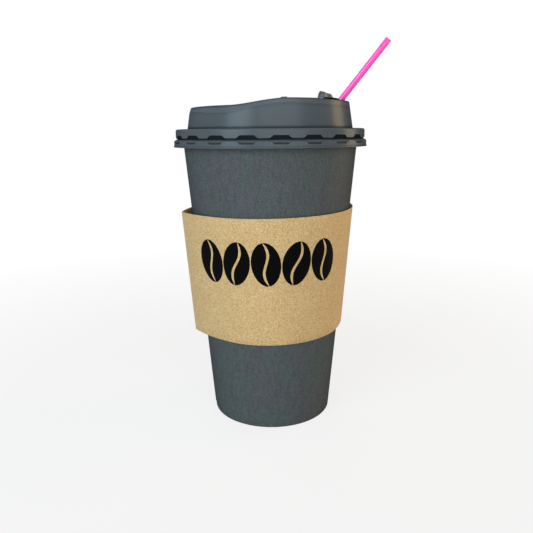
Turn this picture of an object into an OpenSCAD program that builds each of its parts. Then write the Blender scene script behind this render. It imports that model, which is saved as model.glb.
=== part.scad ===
// Paper coffee cup with a press-fit travel lid, a corrugated sleeve and a stir straw, in millimetres.
// The origin is the centre of the foot, on the table. +Z is up and the sip hole is towards +X.

/* [Cup] */
// Height of the cup to the top of its rolled lip
cup_h = 142.35; // [130:0.05:155]
// Outside radius of the wall at the foot
foot_r = 29.75; // [28:0.25:32]
// Growth of the wall's radius for each millimetre of height
wall_slope = 0.0935; // [0.085:0.0005:0.1]
// Thickness of the cup's paper
paper_t = 0.45; // [0.35:0.05:0.55]
// Diameter of the rolled lip's section
lip_d = 2.2; // [1.8:0.1:2.6]
// Width of the wall's glued lap
lap_w = 7; // [4:0.5:10]
// Angle from the sleeve's sharp fold back to the lap, which lies in the room inside that fold
lap_back = 18; // [10:1:20]
// Height of the bottom disc above the table
bottom_z = 9; // [7:0.5:12]
// How far the folded-in foot stops short of the bottom disc
fold_short = 1.6; // [1:0.1:3]

/* [Sleeve] */
// Height of the sleeve's lower edge above the table
sleeve_z = 44.25; // [30:0.25:60]
// Height of the sleeve
sleeve_h = 60.1; // [45:0.1:70]
// Thickness of the smooth outer liner
liner_t = 0.3; // [0.2:0.05:0.4]
// Height of the flutes inside
flute_h = 0.65; // [0.4:0.05:0.8]
// Number of flutes round the sleeve
flutes = 75; // [50:1:90]
// Room between the flutes and the cup at the top edge
room_top = 0.2; // [0.15:0.05:0.4]
// Room between the flutes and the cup at the bottom edge
room_bottom = 0.45; // [0.3:0.05:0.8]
// Direction of the sharp storage fold, round the cup from the sip hole
fold_turn = 216.3; // [190:0.1:240]
// How far the sharp fold stands out at the top and at the bottom edge
sharp_out = [4.2, 4.5]; // [3:0.1:6]
// How far the opened fold stands out at the top and at the bottom edge
soft_out = [1.75, 2.9]; // [1.2:0.05:4]
// Angle over which each fold fades into the round
fold_spread = 38; // [30:1:45]
// Lean of the sleeve on the cup, up towards the opened fold
sleeve_tilt = 0.9; // [0:0.1:1.5]
// Direction of the glued seam
seam_turn = 120; // [90:1:150]
// Step of the glued seam
seam_step = 0.5; // [0.3:0.05:0.8]

/* [Lid] */
// Thickness of the lid's plastic
lid_t = 0.45; // [0.35:0.05:0.55]
// Gap between the lid and what it seats on
seat_gap = 0.2; // [0.1:0.05:0.3]
// Clearance of the lid's plug and snap lugs beside the cup's lip
snap_gap = 0.12; // [0.08:0.02:0.3]
// Room between the lip and the band round it
band_room = 0.95; // [0.8:0.05:1.3]
// Height of the band from the groove to the shoulder
band_h = 4.1; // [3.8:0.1:5]
// Depth of the groove
groove_d = 0.45; // [0.3:0.05:0.6]
// Height of the flare below the groove
flare_h = 4.3; // [3.5:0.1:6]
// How far the flare stands out past the band
flare_out = 1.07; // [0.8:0.01:1.6]
// Number of snap lugs
lugs = 20; // [12:1:24]
// Width of a lug at the groove
lug_w = 10.2; // [6:0.1:11]
// Width of a lug at its upper and lower ends
lug_tip_w = 6.1; // [3:0.1:8]
// Height of a lug above the groove
lug_up = 1.6; // [1.2:0.1:2]
// Height of a lug below the groove
lug_down = 1.5; // [1.2:0.1:2]
// Width of the channel between the plug and the dome
channel_w = 0.65; // [0.5:0.05:1.6]
// Inward lean of the dome's wall
dome_lean = 0.15; // [0.1:0.01:0.2]

/* [Lid top] */
// Height of the rear rim above the lid's shoulder
rear_h = 10.1; // [8:0.05:13]
// How much higher the rim is at the sip side
sip_rise = 2.8; // [1:0.05:4]
// How much the rim dips under the upper lip
sip_dip = 0.3; // [0:0.05:0.6]
// Depth of the deck below the rim at the back
deck_d = 3.05; // [2:0.05:4]
// Depth of the pad round the sip hole below the rim
pad_d = 3.7; // [2:0.05:4.5]
// Width of the rim's round top
rim_w = 1.1; // [0.8:0.05:1.3]
// How far the bevel outside the rim comes in from the dome's wall
bevel_in = 0.3; // [0.2:0.05:1.3]
// Width of the slope from the rim down to the deck
rim_slope_w = 2.2; // [1.4:0.05:2.6]
// Place along X where the rim starts to rise
rise_from = -6; // [-12:0.5:2]
// Place along X where the rim has risen
rise_to = 22; // [18:0.5:28]
// Place along X where the rim starts to dip under the upper lip
dip_from = 30; // [26:0.5:33]
// Depth of the crease below the rim: at the back, before the rise, after it and under the upper lip
crease_d = [2.55, 3.35, 2.1, 2.5]; // [1.8:0.05:4]
// Diameter of the vent hole
vent_d = 1.2; // [0.8:0.1:2]
// Place of the vent hole along X
vent_x = -21; // [-28:0.5:-16]
// Width of the stacking pads
stack_w = 0.7; // [0.5:0.05:0.9]

/* [Sip hole and tab] */
// Length of the sip hole round the cup
sip_w = 12.6; // [11:0.2:14]
// Width of the sip hole along X
sip_l = 6.7; // [6:0.1:8]
// Distance of the sip hole's outer edge from the rim's foot
sip_edge = 1.75; // [0.3:0.05:2.2]
// Distance of the tab's hinge from the sip hole
hinge_back = 0.85; // [0.5:0.05:1]
// Thickness of the tab's plate
tab_t = 0.6; // [0.5:0.05:0.8]
// Radius of the tab's rounded corners
tab_corner = 3.4; // [2:0.1:4.5]
// How far the tab's plate laps past the hole
tab_lap = 0.3; // [0.2:0.05:0.5]
// Depth of the plug at its hinge side, in its middle and at its outer side
plug_d = [2.6, 4.1, 1.3]; // [0.5:0.1:5]
// Clearance of the plug in the sip hole
plug_gap = 0.3; // [0.2:0.05:0.5]
// Thickness of the plug's wall
plug_t = 0.48; // [0.4:0.02:0.6]
// Angle at which the tab stands open
tab_open = 84; // [70:1:95]
// Width of the hook that holds the tab when it is folded right back
catch_w = 5; // [3:0.5:8]
// Thickness of the hook
catch_t = 0.8; // [0.6:0.1:1.2]
// Height of the hook above the pad
catch_h = 1.1; // [0.8:0.1:1.5]
// Gap between the hook and the folded tab
catch_gap = 0.5; // [0.3:0.1:1]

/* [Straw] */
// Outside diameter of the straw
straw_d = 3; // [2.4:0.1:3.6]
// Thickness of the straw's wall
straw_t = 0.22; // [0.15:0.01:0.4]
// Length of the straw
straw_l = 140; // [125:1:144]
// Length of straw that stands out of the lid
straw_out = 39.6; // [30:0.1:60]
// Lean of the straw from upright
straw_lean = 39.66; // [36:0.01:40.5]
// How far the straw stands to one side of the sip hole's middle
straw_side = 3; // [2.5:0.1:3.4]

/* [Hidden] */
$fn = 96;
ply_gap = 0.05;       // air between two plies of paper
nick = 0.25;          // small chamfer at a folded or trimmed edge
curl_mouth = 70;      // open part of the lip's curl, in degrees
lid_turns = 90;       // facets round the dome
flute_steps = 6;      // points that draw one flute
deck_rings = [0.86, 0.69, 0.52, 0.35, 0.18];  // shares of the deck's radius
rim_round = 0.45;     // drop at either side of the rim's round top
lug_splay = 0.78;     // outward run of a lug's lower face for each millimetre down
lug_draft = 0.1;      // outward run of its upper face for each millimetre up
lug_skin = 0.75;      // share of the sheet's thickness left in a lug
bite = 0.02;          // overlap that joins two shapes of one piece
through = 2;          // reach of a cut past the face that it goes through
fold_power = 1.8;     // how steeply a storage fold rises
seam_fade = 24;       // turn over which the seam's step fades out, in degrees
trim_h = 0.5;         // height of the skirt's trimmed edge
trim_step = 0.2;      // step in from that edge
ledge_z = 0.8;        // depth of the flare's ledge below the groove
ledge_round = [0.3, 0.4];  // width and height of the ledge's outer chamfer
groove_land = 0.12;   // half the height of the groove's floor
groove_under = 0.3;   // width of the groove's lower side
groove_over = 0.35;   // height of the groove's upper side above its middle
shoulder_round = 0.9;   // radius of the shoulder's edge
crease_x = [[-23, -11], [-6, 6], [24, 30]];  // places along X where the crease's depth changes
deck_x = [2, 14];     // places along X where the deck starts and ends its rise to the pad
stack_pads = [[18.2, 10, 0.6], [59.7, 4, 0.35]];  // direction, length and height of the stacking pads
bead_short = 0.8;     // how far the hinge bead stops short of the sip hole's ends

function wall_r(z) = foot_r + wall_slope * z;
function blend(low, high, t) = low + (high - low) * t;
function smooth(t) = let (u = min(1, max(0, t))) u * u * (3 - 2 * u);
function step_up(x, span) = smooth((x - span[0]) / (span[1] - span[0]));

// Cup's rolled lip
lip_z = cup_h - lip_d / 2;
lip_mid = wall_r(lip_z) - paper_t + lip_d / 2;
lip_r = lip_mid + lip_d / 2;

// Lid's seat, band and channel
shoulder_z = cup_h + seat_gap + lid_t;
band_r = lip_r + band_room + lid_t;
flare_r = band_r + flare_out;
groove_r = band_r - groove_d;
groove_z = shoulder_z - band_h;
skirt_z = groove_z - flare_h;
floor_z = groove_z - lid_t / 2;
plug_r = wall_r(floor_z) - paper_t - snap_gap;
dome_foot_r = plug_r - lid_t - channel_w;
function dome_r(z) = dome_foot_r - dome_lean * (z - floor_z);

// Lid's rim and deck
rim_r = dome_r(shoulder_z + rear_h) - bevel_in;
toe_r = rim_r - rim_w - rim_slope_w;
pad_z = shoulder_z + rear_h + sip_rise - sip_dip - pad_d;
rear_deck_z = shoulder_z + rear_h - deck_d;

// Sip hole, tab hinge and straw
sip_x = toe_r - sip_edge - sip_l / 2;
sip_end_y = (sip_w - sip_l) / 2;
hinge_x = sip_x - sip_l / 2 - hinge_back;
hinge_z = pad_z + seat_gap / 2 + tab_t / 2;
tab_l = sip_x + sip_l / 2 + tab_lap - hinge_x;
straw_edge_x = sip_x + sqrt(pow(sip_l / 2, 2) - pow(straw_side - sip_end_y, 2));
straw_x = straw_edge_x - plug_gap - straw_d / 2 / cos(straw_lean);

// Height of the lid's rim and of the crease below its bevel, from the place along X
function rim_z(x) = shoulder_z + rear_h + sip_rise * step_up(x, [rise_from, rise_to])
    - sip_dip * step_up(x, [dip_from, rim_r]);
function crease_z(x) = rim_z(x) - crease_d[0]
    - (crease_d[1] - crease_d[0]) * step_up(x, crease_x[0])
    - (crease_d[2] - crease_d[1]) * step_up(x, crease_x[1])
    - (crease_d[3] - crease_d[2]) * step_up(x, crease_x[2]);
function deck_z(x) = blend(rear_deck_z, pad_z, step_up(x, deck_x));

// Profile of the rolled lip: a curl that comes over and down and stops short of the wall
module lip_section() {
    translate([lip_mid, lip_z])
        difference() {
            circle(d = lip_d);
            circle(d = lip_d - 2 * paper_t);
            polygon([
                [0, 0],
                [-lip_d, 0],
                [-lip_d, -lip_d],
                [-lip_d / tan(curl_mouth), -lip_d],
            ]);
        }
}

// Profile of the wall with its foot turned in and up round the bottom's skirt
module wall_section() {
    in_off = 3 * paper_t + 2 * ply_gap;
    fold_z = bottom_z - fold_short;
    polygon([
        [wall_r(0) - nick, 0],
        [wall_r(nick), nick],
        [wall_r(lip_z + bite), lip_z + bite],
        [wall_r(lip_z + bite) - paper_t, lip_z + bite],
        [wall_r(paper_t) - paper_t, paper_t],
        [wall_r(paper_t) - in_off + paper_t, paper_t],
        [wall_r(fold_z) - in_off + paper_t, fold_z],
        [wall_r(fold_z) - in_off, fold_z],
        [wall_r(nick) - in_off, nick],
        [wall_r(0) - in_off + nick, 0],
    ]);
}

// Outer ply of the wall's glued lap, from the foot into the underside of the lip
module wall_lap() {
    lap_top = lip_z - lip_d / 2 + paper_t / 2;
    lap_turn = lap_w / wall_r(cup_h / 2) * 180 / PI;
    rotate([0, 0, fold_turn - lap_back - lap_turn / 2])
        rotate_extrude(angle = lap_turn)
            polygon([
                [wall_r(nick) - paper_t / 2, nick],
                [wall_r(nick) + paper_t, nick],
                [wall_r(lap_top) + paper_t, lap_top],
                [wall_r(lap_top) - paper_t / 2, lap_top],
            ]);
}

// Side wall of the cup, rolled from one blank
module cup_wall() {
    color("#4f5557") {
        rotate_extrude() {
            wall_section();
            lip_section();
        }
        wall_lap();
    }
}

// Bottom disc with its skirt turned down inside the foot
module cup_bottom() {
    out_off = paper_t + ply_gap;
    skirt_low = paper_t + ply_gap;
    disc_top = bottom_z + paper_t;
    color("#454b4d")
        rotate_extrude()
            polygon([
                [0, bottom_z],
                [wall_r(bottom_z) - out_off - paper_t - nick, bottom_z],
                [wall_r(bottom_z - nick) - out_off - paper_t, bottom_z - nick],
                [wall_r(skirt_low) - out_off - paper_t, skirt_low],
                [wall_r(skirt_low) - out_off, skirt_low],
                [wall_r(disc_top - nick) - out_off, disc_top - nick],
                [wall_r(disc_top) - out_off - nick, disc_top],
                [0, disc_top],
            ]);
}

// How far a storage fold lifts the sleeve off the round, at an angle away from the fold
function fold_lift(away) = pow(max(0, 1 - away / fold_spread), fold_power);
function turn_from(a, b) = let (d = abs((a - b) % 360)) min(d, 360 - d);
function seam_lift(a) = seam_step * max(0, 1 - (a - seam_turn + 360) % 360 / seam_fade);

// Outside radius of the sleeve at angle a, from its bottom edge (t = 0) to its top edge (t = 1)
function sleeve_r(a, t) = wall_r(sleeve_z + t * sleeve_h) + blend(room_bottom, room_top, t) + flute_h + liner_t
    + blend(sharp_out[1], sharp_out[0], t) * fold_lift(turn_from(a, fold_turn))
    + blend(soft_out[1], soft_out[0], t) * fold_lift(turn_from(a, fold_turn - 180))
    + seam_lift(a);
function flute(k) = (1 + cos(360 * k / flute_steps)) / 2;
function sleeve_point(k, t, in) =
    let (
        a = 360 * k / (flutes * flute_steps),
        r = sleeve_r(a, t) - in * (liner_t + flute_h * flute(k)),
        lean = tan(sleeve_tilt) * r * cos(a - fold_turn + 180)
    ) [r * cos(a), r * sin(a), sleeve_z + t * sleeve_h + lean];

// Corrugated sleeve: a smooth liner outside, open flutes inside and a glued seam at the back
module sleeve() {
    n = flutes * flute_steps;
    edges = [[0, 0], [1, 0], [1, 1], [0, 1]];
    color("#c6aa78")
        polyhedron(
            points = [for (e = edges) for (k = [0 : n - 1]) sleeve_point(k, e[0], e[1])],
            faces = [
                for (j = [0 : 3]) for (k = [0 : n - 1])
                    let (a = j * n + k, b = j * n + (k + 1) % n, c = (j + 1) % 4 * n)
                        each [[a, c + k, b], [b, c + k, c + (k + 1) % n]]
            ]
        );
}

// Side of the lid's skirt at a depth inside its outer face, from its trimmed edge up to the shoulder
function skirt_side(in) = concat(
    [for (p = [
        [flare_r, skirt_z],
        [flare_r, skirt_z + trim_h],
        [flare_r - trim_step, skirt_z + trim_h + trim_step],
        [flare_r - trim_step, groove_z - ledge_z - ledge_round[1]],
        [flare_r - trim_step - ledge_round[0], groove_z - ledge_z],
        [groove_r + groove_under, groove_z - groove_under],
        [groove_r, groove_z - groove_land],
        [groove_r, groove_z + groove_land],
        [band_r, groove_z + groove_over],
    ]) p - [in, 0]],
    [for (a = [0 : 30 : 90])
        [band_r - shoulder_round, shoulder_z - shoulder_round] + (shoulder_round - in) * [cos(a), sin(a)]]
);

// Profile of the skirt, the seat over the lip, the plug inside the cup and the channel's floor
module skirt_section() {
    seat_r = plug_r - lid_t;
    inner_side = skirt_side(lid_t);
    polygon(concat(
        skirt_side(0),
        [
            [seat_r + nick, shoulder_z],
            [seat_r, shoulder_z - nick],
            [seat_r, floor_z + lid_t / 2],
            [dome_foot_r - 2 * lid_t, floor_z + lid_t / 2],
            [dome_foot_r - 2 * lid_t, floor_z - lid_t / 2],
            [plug_r - nick, floor_z - lid_t / 2],
            [plug_r, floor_z - lid_t / 2 + nick],
            [plug_r, shoulder_z - lid_t],
        ],
        [for (i = [len(inner_side) - 1 : -1 : 0]) inner_side[i]]
    ));
}

// Six-sided prism that bounds a lug, looking along its radius
module lug_prism(edge) {
    wide = lug_w / 2 + edge;
    narrow = lug_tip_w / 2 + edge;
    rotate([90, 0, 90])
        translate([0, groove_z, lip_r - through])
            linear_extrude(height = flare_r - lip_r + 2 * through)
                polygon([
                    [-wide, 0],
                    [-narrow, lug_up + edge],
                    [narrow, lug_up + edge],
                    [wide, 0],
                    [narrow, -lug_down - edge],
                    [-narrow, -lug_down - edge],
                ]);
}

// Inside of a lug: it comes in past the band as far as the lip lets it, from the middle of the skirt's sheet
module lug_body() {
    lug_in = lip_r + snap_gap;
    up = lug_up + lid_t;
    down = lug_down + lid_t;
    middle = skirt_side(lid_t / 2);
    intersection() {
        lug_prism(lid_t);
        rotate_extrude()
            polygon([
                [lug_in, groove_z - groove_land],
                [lug_in, groove_z + groove_land],
                [lug_in + lug_draft * (up - groove_land), groove_z + up],
                [middle[8][0], groove_z + up],
                for (i = [8 : -1 : 3]) middle[i],
                [middle[3][0], groove_z - down],
                [lug_in + lug_splay * (down - groove_land), groove_z - down],
            ]);
    }
}

// Dent in the outside of the skirt that makes a lug
module lug_dent() {
    dent_r = lip_r + snap_gap + lug_skin * lid_t;
    up = lug_up + through;
    down = lug_down + through;
    intersection() {
        lug_prism(0);
        rotate_extrude()
            polygon([
                [dent_r, groove_z - groove_land],
                [dent_r, groove_z + groove_land],
                [dent_r + lug_draft * (up - groove_land), groove_z + up],
                [flare_r + through, groove_z + up],
                [flare_r + through, groove_z - down],
                [dent_r + lug_splay * (down - groove_land), groove_z - down],
            ]);
    }
}

module at_lugs() {
    for (i = [0 : lugs - 1])
        rotate([0, 0, (i + 0.5) * 360 / lugs])
            children();
}

// One ring of points round the lid's top: radius r, height from the place along X
function top_ring(r, z_of) = [for (i = [0 : lid_turns - 1])
    let (a = 360 * i / lid_turns) [r * cos(a), r * sin(a), z_of(r * cos(a))]];
function wall_ring(in, drop) = [for (i = [0 : lid_turns - 1])
    let (
        a = 360 * i / lid_turns,
        z = crease_z(rim_r * cos(a)) - drop,
        r = dome_r(z) - in
    ) [r * cos(a), r * sin(a), z]];
dome_rings = [
    top_ring(dome_foot_r, function(x) floor_z),
    wall_ring(0, 0),
    top_ring(rim_r, function(x) rim_z(x) - rim_round),
    top_ring(rim_r - rim_w / 2, function(x) rim_z(x)),
    top_ring(rim_r - rim_w, function(x) rim_z(x) - rim_round),
    top_ring(toe_r, function(x) deck_z(x)),
    for (s = deck_rings) top_ring(toe_r * s, function(x) deck_z(x)),
];
lining_rings = [
    for (i = [len(deck_rings) - 1 : -1 : 0]) top_ring(toe_r * deck_rings[i], function(x) deck_z(x) - lid_t),
    top_ring(toe_r + lid_t / 2, function(x) deck_z(x) - lid_t),
    top_ring(rim_r - rim_w / 2, function(x) rim_z(x) - lid_t),
    wall_ring(lid_t, lid_t / 4),
    top_ring(dome_foot_r - lid_t, function(x) floor_z),
];

// Dome, rim and deck of the lid as one skin of even thickness
module lid_dome() {
    rings = concat(dome_rings, lining_rings);
    n = lid_turns;
    outer = len(dome_rings);
    last = len(rings) - 1;
    peak = len(rings) * n;
    polyhedron(
        points = concat(
            [for (g = rings) each g],
            [[0, 0, deck_z(0)], [0, 0, deck_z(0) - lid_t]]
        ),
        faces = concat(
            [for (j = [0 : last]) if (j != outer - 1) for (i = [0 : n - 1])
                let (a = j * n + i, b = j * n + (i + 1) % n, c = (j == last ? 0 : j + 1) * n)
                    each [[a, c + i, b], [b, c + i, c + (i + 1) % n]]],
            [for (i = [0 : n - 1]) [(outer - 1) * n + i, peak, (outer - 1) * n + (i + 1) % n]],
            [for (i = [0 : n - 1]) [outer * n + (i + 1) % n, peak + 1, outer * n + i]]
        )
    );
}

// Small pads on the rim that keep stacked lids apart
module stacking_pads() {
    pad_at = rim_r - rim_w / 2;
    root = rim_round + lid_t / 2;
    for (side = [-1, 1]) {
        for (p = stack_pads) {
            rotate([0, 0, side * p[0]])
                translate([pad_at - stack_w / 2, -p[1] / 2, rim_z(pad_at * cos(p[0])) - root])
                    cube([stack_w, p[1], root + p[2]]);
        }
    }
}

// Low hook on the deck that holds the tab when it is folded right back
module tab_catch() {
    translate([hinge_x - tab_l - catch_gap - catch_t, -catch_w / 2, pad_z - lid_t / 2])
        cube([catch_t, catch_w, catch_h + lid_t / 2]);
}

// Sip hole's long round outline, made smaller all round by gap
module sip_outline(gap) {
    for (side = [-1, 1])
        translate([0, side * sip_end_y]) circle(d = sip_l - 2 * gap);
    square([sip_l - 2 * gap, 2 * sip_end_y], center = true);
}

// Lid: skirt and lugs, dome and deck, with the sip hole and the vent cut through
module lid() {
    color("#50595e")
        difference() {
            union() {
                rotate_extrude() skirt_section();
                at_lugs() lug_body();
                lid_dome();
                stacking_pads();
                tab_catch();
            }
            at_lugs() lug_dent();
            translate([sip_x, 0, pad_z - through]) linear_extrude(height = 2 * through) sip_outline(0);
            translate([vent_x, 0, rear_deck_z - through]) cylinder(d = vent_d, h = 2 * through);
        }
}

// Outline of the tab's plate, from its hinge edge out to its rounded free end
module tab_outline() {
    half = sip_w / 2 + tab_lap;
    translate([0, -half]) square([tab_l - tab_corner, 2 * half]);
    translate([0, -half + tab_corner]) square([tab_l, 2 * (half - tab_corner)]);
    for (side = [-1, 1])
        translate([tab_l - tab_corner, side * (half - tab_corner)]) circle(r = tab_corner);
}

// Wedge-shaped plug under the closed tab, deepest in its middle, made smaller all round by inset
module tab_plug(inset, top) {
    mid = sip_x - hinge_x;
    reach = sip_l / 2 - plug_gap;
    intersection() {
        translate([mid, 0, -2 * plug_d[1]])
            linear_extrude(height = 2 * plug_d[1] + top) sip_outline(plug_gap + inset);
        rotate([90, 0, 0])
            linear_extrude(height = 2 * sip_w, center = true)
                polygon([
                    [mid - reach, top],
                    [mid - reach, -tab_t / 2 - plug_d[0] + inset],
                    [mid, -tab_t / 2 - plug_d[1] + inset],
                    [mid + reach, -tab_t / 2 - plug_d[2] + inset],
                    [mid + reach, top],
                ]);
    }
}

// Tab with its hollow plug, standing open on its hinge behind the sip hole
module lid_tab() {
    bead_l = sip_w - 2 * bead_short;
    color("#555b5c")
        translate([hinge_x, 0, hinge_z])
            rotate([0, -tab_open, 0])
                difference() {
                    union() {
                        translate([0, 0, -tab_t / 2]) linear_extrude(height = tab_t) tab_outline();
                        tab_plug(0, 0);
                        rotate([90, 0, 0]) cylinder(d = tab_t, h = bead_l, center = true);
                    }
                    tab_plug(plug_t, tab_t);
                }
}

// Stir straw through the sip hole, leaning out over the rim
module straw() {
    color("#f94bb3")
        translate([straw_x, straw_side, pad_z])
            rotate([0, straw_lean, 0])
                translate([0, 0, straw_out - straw_l])
                    difference() {
                        cylinder(d = straw_d, h = straw_l);
                        translate([0, 0, -through])
                            cylinder(d = straw_d - 2 * straw_t, h = straw_l + 2 * through);
                    }
}

cup_wall();
cup_bottom();
sleeve();
lid();
lid_tab();
straw();
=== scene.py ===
import math

import bmesh
import bpy
import numpy as np
from mathutils import Matrix, Vector


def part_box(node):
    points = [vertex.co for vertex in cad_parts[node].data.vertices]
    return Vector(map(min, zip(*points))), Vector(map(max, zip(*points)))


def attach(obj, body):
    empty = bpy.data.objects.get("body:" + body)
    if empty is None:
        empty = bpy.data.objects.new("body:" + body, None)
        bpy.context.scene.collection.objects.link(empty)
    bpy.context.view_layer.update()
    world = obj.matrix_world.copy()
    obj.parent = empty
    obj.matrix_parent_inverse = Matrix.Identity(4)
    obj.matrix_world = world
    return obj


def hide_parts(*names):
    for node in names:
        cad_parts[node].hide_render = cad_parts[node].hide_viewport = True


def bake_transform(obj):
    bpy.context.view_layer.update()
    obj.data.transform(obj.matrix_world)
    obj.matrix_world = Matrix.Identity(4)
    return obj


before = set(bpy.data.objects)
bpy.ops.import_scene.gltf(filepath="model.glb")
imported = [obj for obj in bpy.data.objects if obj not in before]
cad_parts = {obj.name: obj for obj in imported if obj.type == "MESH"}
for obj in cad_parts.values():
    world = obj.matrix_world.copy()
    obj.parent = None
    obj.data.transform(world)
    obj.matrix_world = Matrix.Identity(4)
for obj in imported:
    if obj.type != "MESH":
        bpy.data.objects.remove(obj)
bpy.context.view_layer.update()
mm = 0.001  # all the sizes below are in millimetres
scene = bpy.context.scene
scene.view_settings.view_transform = "Standard"


# Small helpers for shapes
def smoothStep(value, start, end):
    share = np.clip((np.asarray(value, float) - start) / (end - start), 0, 1)
    return share * share * (3 - 2 * share)


def mixed(first, second, share):
    return first + (second - first) * share


def polar(radius, angle, height):
    radius, angle, height = np.broadcast_arrays(radius, angle, height)
    return np.stack([radius * np.cos(angle), radius * np.sin(angle), height], -1)


def arcPoints(centre, radius, start, end, steps):
    turn = np.radians(np.linspace(start, end, steps + 1))
    return [(centre[0] + radius * math.cos(a), centre[1] + radius * math.sin(a)) for a in turn]


def fullTurn(steps):
    return np.linspace(0, 2 * math.pi, steps, endpoint=False)


def level(outline, height):  # an outline seen from above, put at its height
    return np.column_stack([outline, np.broadcast_to(height, len(outline))])


def turnedPath(path, angles):  # a row of points round the axis for each radius and height of the path
    return [polar(radius, angles, height) for radius, height in path]


def loft(rings, wrap=True, closeEnds=False, startTip=None, endTip=None, paint=None):
    # skin over rows of points: a tip closes an end with a fan, closeEnds joins the last row to the first
    rings = np.asarray(rings, float)
    rows, columns = rings.shape[:2]
    index = np.arange(rows * columns).reshape(rows, columns)
    lower, upper = (index, np.roll(index, -1, 0)) if closeEnds else (index[:-1], index[1:])
    if wrap:
        quads = np.stack([lower, np.roll(lower, -1, 1), np.roll(upper, -1, 1), upper], -1)
    else:
        quads = np.stack([lower[:, :-1], lower[:, 1:], upper[:, 1:], upper[:, :-1]], -1)
    faces = quads.reshape(-1, 4).tolist()
    marks = np.repeat(paint if paint is not None else np.zeros(len(quads), int), quads.shape[1]).tolist()
    points = rings.reshape(-1, 3).tolist()
    for tip, row, turn in ((startTip, index[0], -1), (endTip, index[-1], 1)):
        if tip is not None:
            points.append(list(tip))
            edges = zip(row.tolist(), np.roll(row, -1).tolist())
            faces += [[a, b, len(points) - 1][::turn] for a, b in edges]
            marks += [marks[0] if turn < 0 else marks[-1]] * columns
    return points, faces, marks


def solidLoft(rings, paint=None):  # closed by a fan from the middle of each end
    rings = np.asarray(rings, float)
    return loft(rings, startTip=rings[0].mean(0), endTip=rings[-1].mean(0), paint=paint)


def tipped(rings, degrees, place):  # turned about Y, +X towards +Z, and moved to its place
    turn = math.radians(degrees)
    x = rings[..., 0] * math.cos(turn) - rings[..., 2] * math.sin(turn) + place[0]
    z = rings[..., 0] * math.sin(turn) + rings[..., 2] * math.cos(turn) + place[2]
    return np.stack([x, rings[..., 1] + place[1], z], -1)


def buildPiece(name, parts, materials, creaseAngle=40):
    points, faces, marks = [], [], []
    for partPoints, partFaces, partMarks in parts:
        start = len(points)
        points += partPoints
        faces += [[start + corner for corner in face] for face in partFaces]
        marks += partMarks
    mesh = bpy.data.meshes.new(name)
    mesh.from_pydata((np.array(points) * mm).tolist(), [], faces)
    for material in materials:
        mesh.materials.append(material)
    mesh.polygons.foreach_set("material_index", marks)
    work = bmesh.new()
    work.from_mesh(mesh)
    bmesh.ops.recalc_face_normals(work, faces=work.faces)
    work.to_mesh(mesh)
    work.free()
    mesh.polygons.foreach_set("use_smooth", [True] * len(mesh.polygons))
    mesh.set_sharp_from_angle(angle=math.radians(creaseAngle))
    piece = bpy.data.objects.new(name, mesh)
    scene.collection.objects.link(piece)
    return piece


def applyModifiers(piece):
    evaluated = piece.evaluated_get(bpy.context.evaluated_depsgraph_get())
    mesh = bpy.data.meshes.new_from_object(evaluated)
    piece.modifiers.clear()
    piece.data = mesh


def cutWith(piece, cutter):
    cut = piece.modifiers.new("cut", "BOOLEAN")
    cut.operation = "DIFFERENCE"
    cut.solver = "EXACT"
    cut.object = cutter
    applyModifiers(piece)
    bpy.data.objects.remove(cutter)


# Shader maths: a wire is one node output, and sums written with it add their nodes
class Wire:
    def __init__(self, sheet, socket):
        self.sheet = sheet
        self.socket = socket

    def sum(self, operation, first, second):
        return self.sheet.node("Math", {"operation": operation}, {0: first, 1: second})

    def __add__(self, other):
        return self.sum("ADD", self, other)

    def __radd__(self, other):
        return self.sum("ADD", other, self)

    def __sub__(self, other):
        return self.sum("SUBTRACT", self, other)

    def __rsub__(self, other):
        return self.sum("SUBTRACT", other, self)

    def __mul__(self, other):
        return self.sum("MULTIPLY", self, other)

    def __rmul__(self, other):
        return self.sum("MULTIPLY", other, self)


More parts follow.
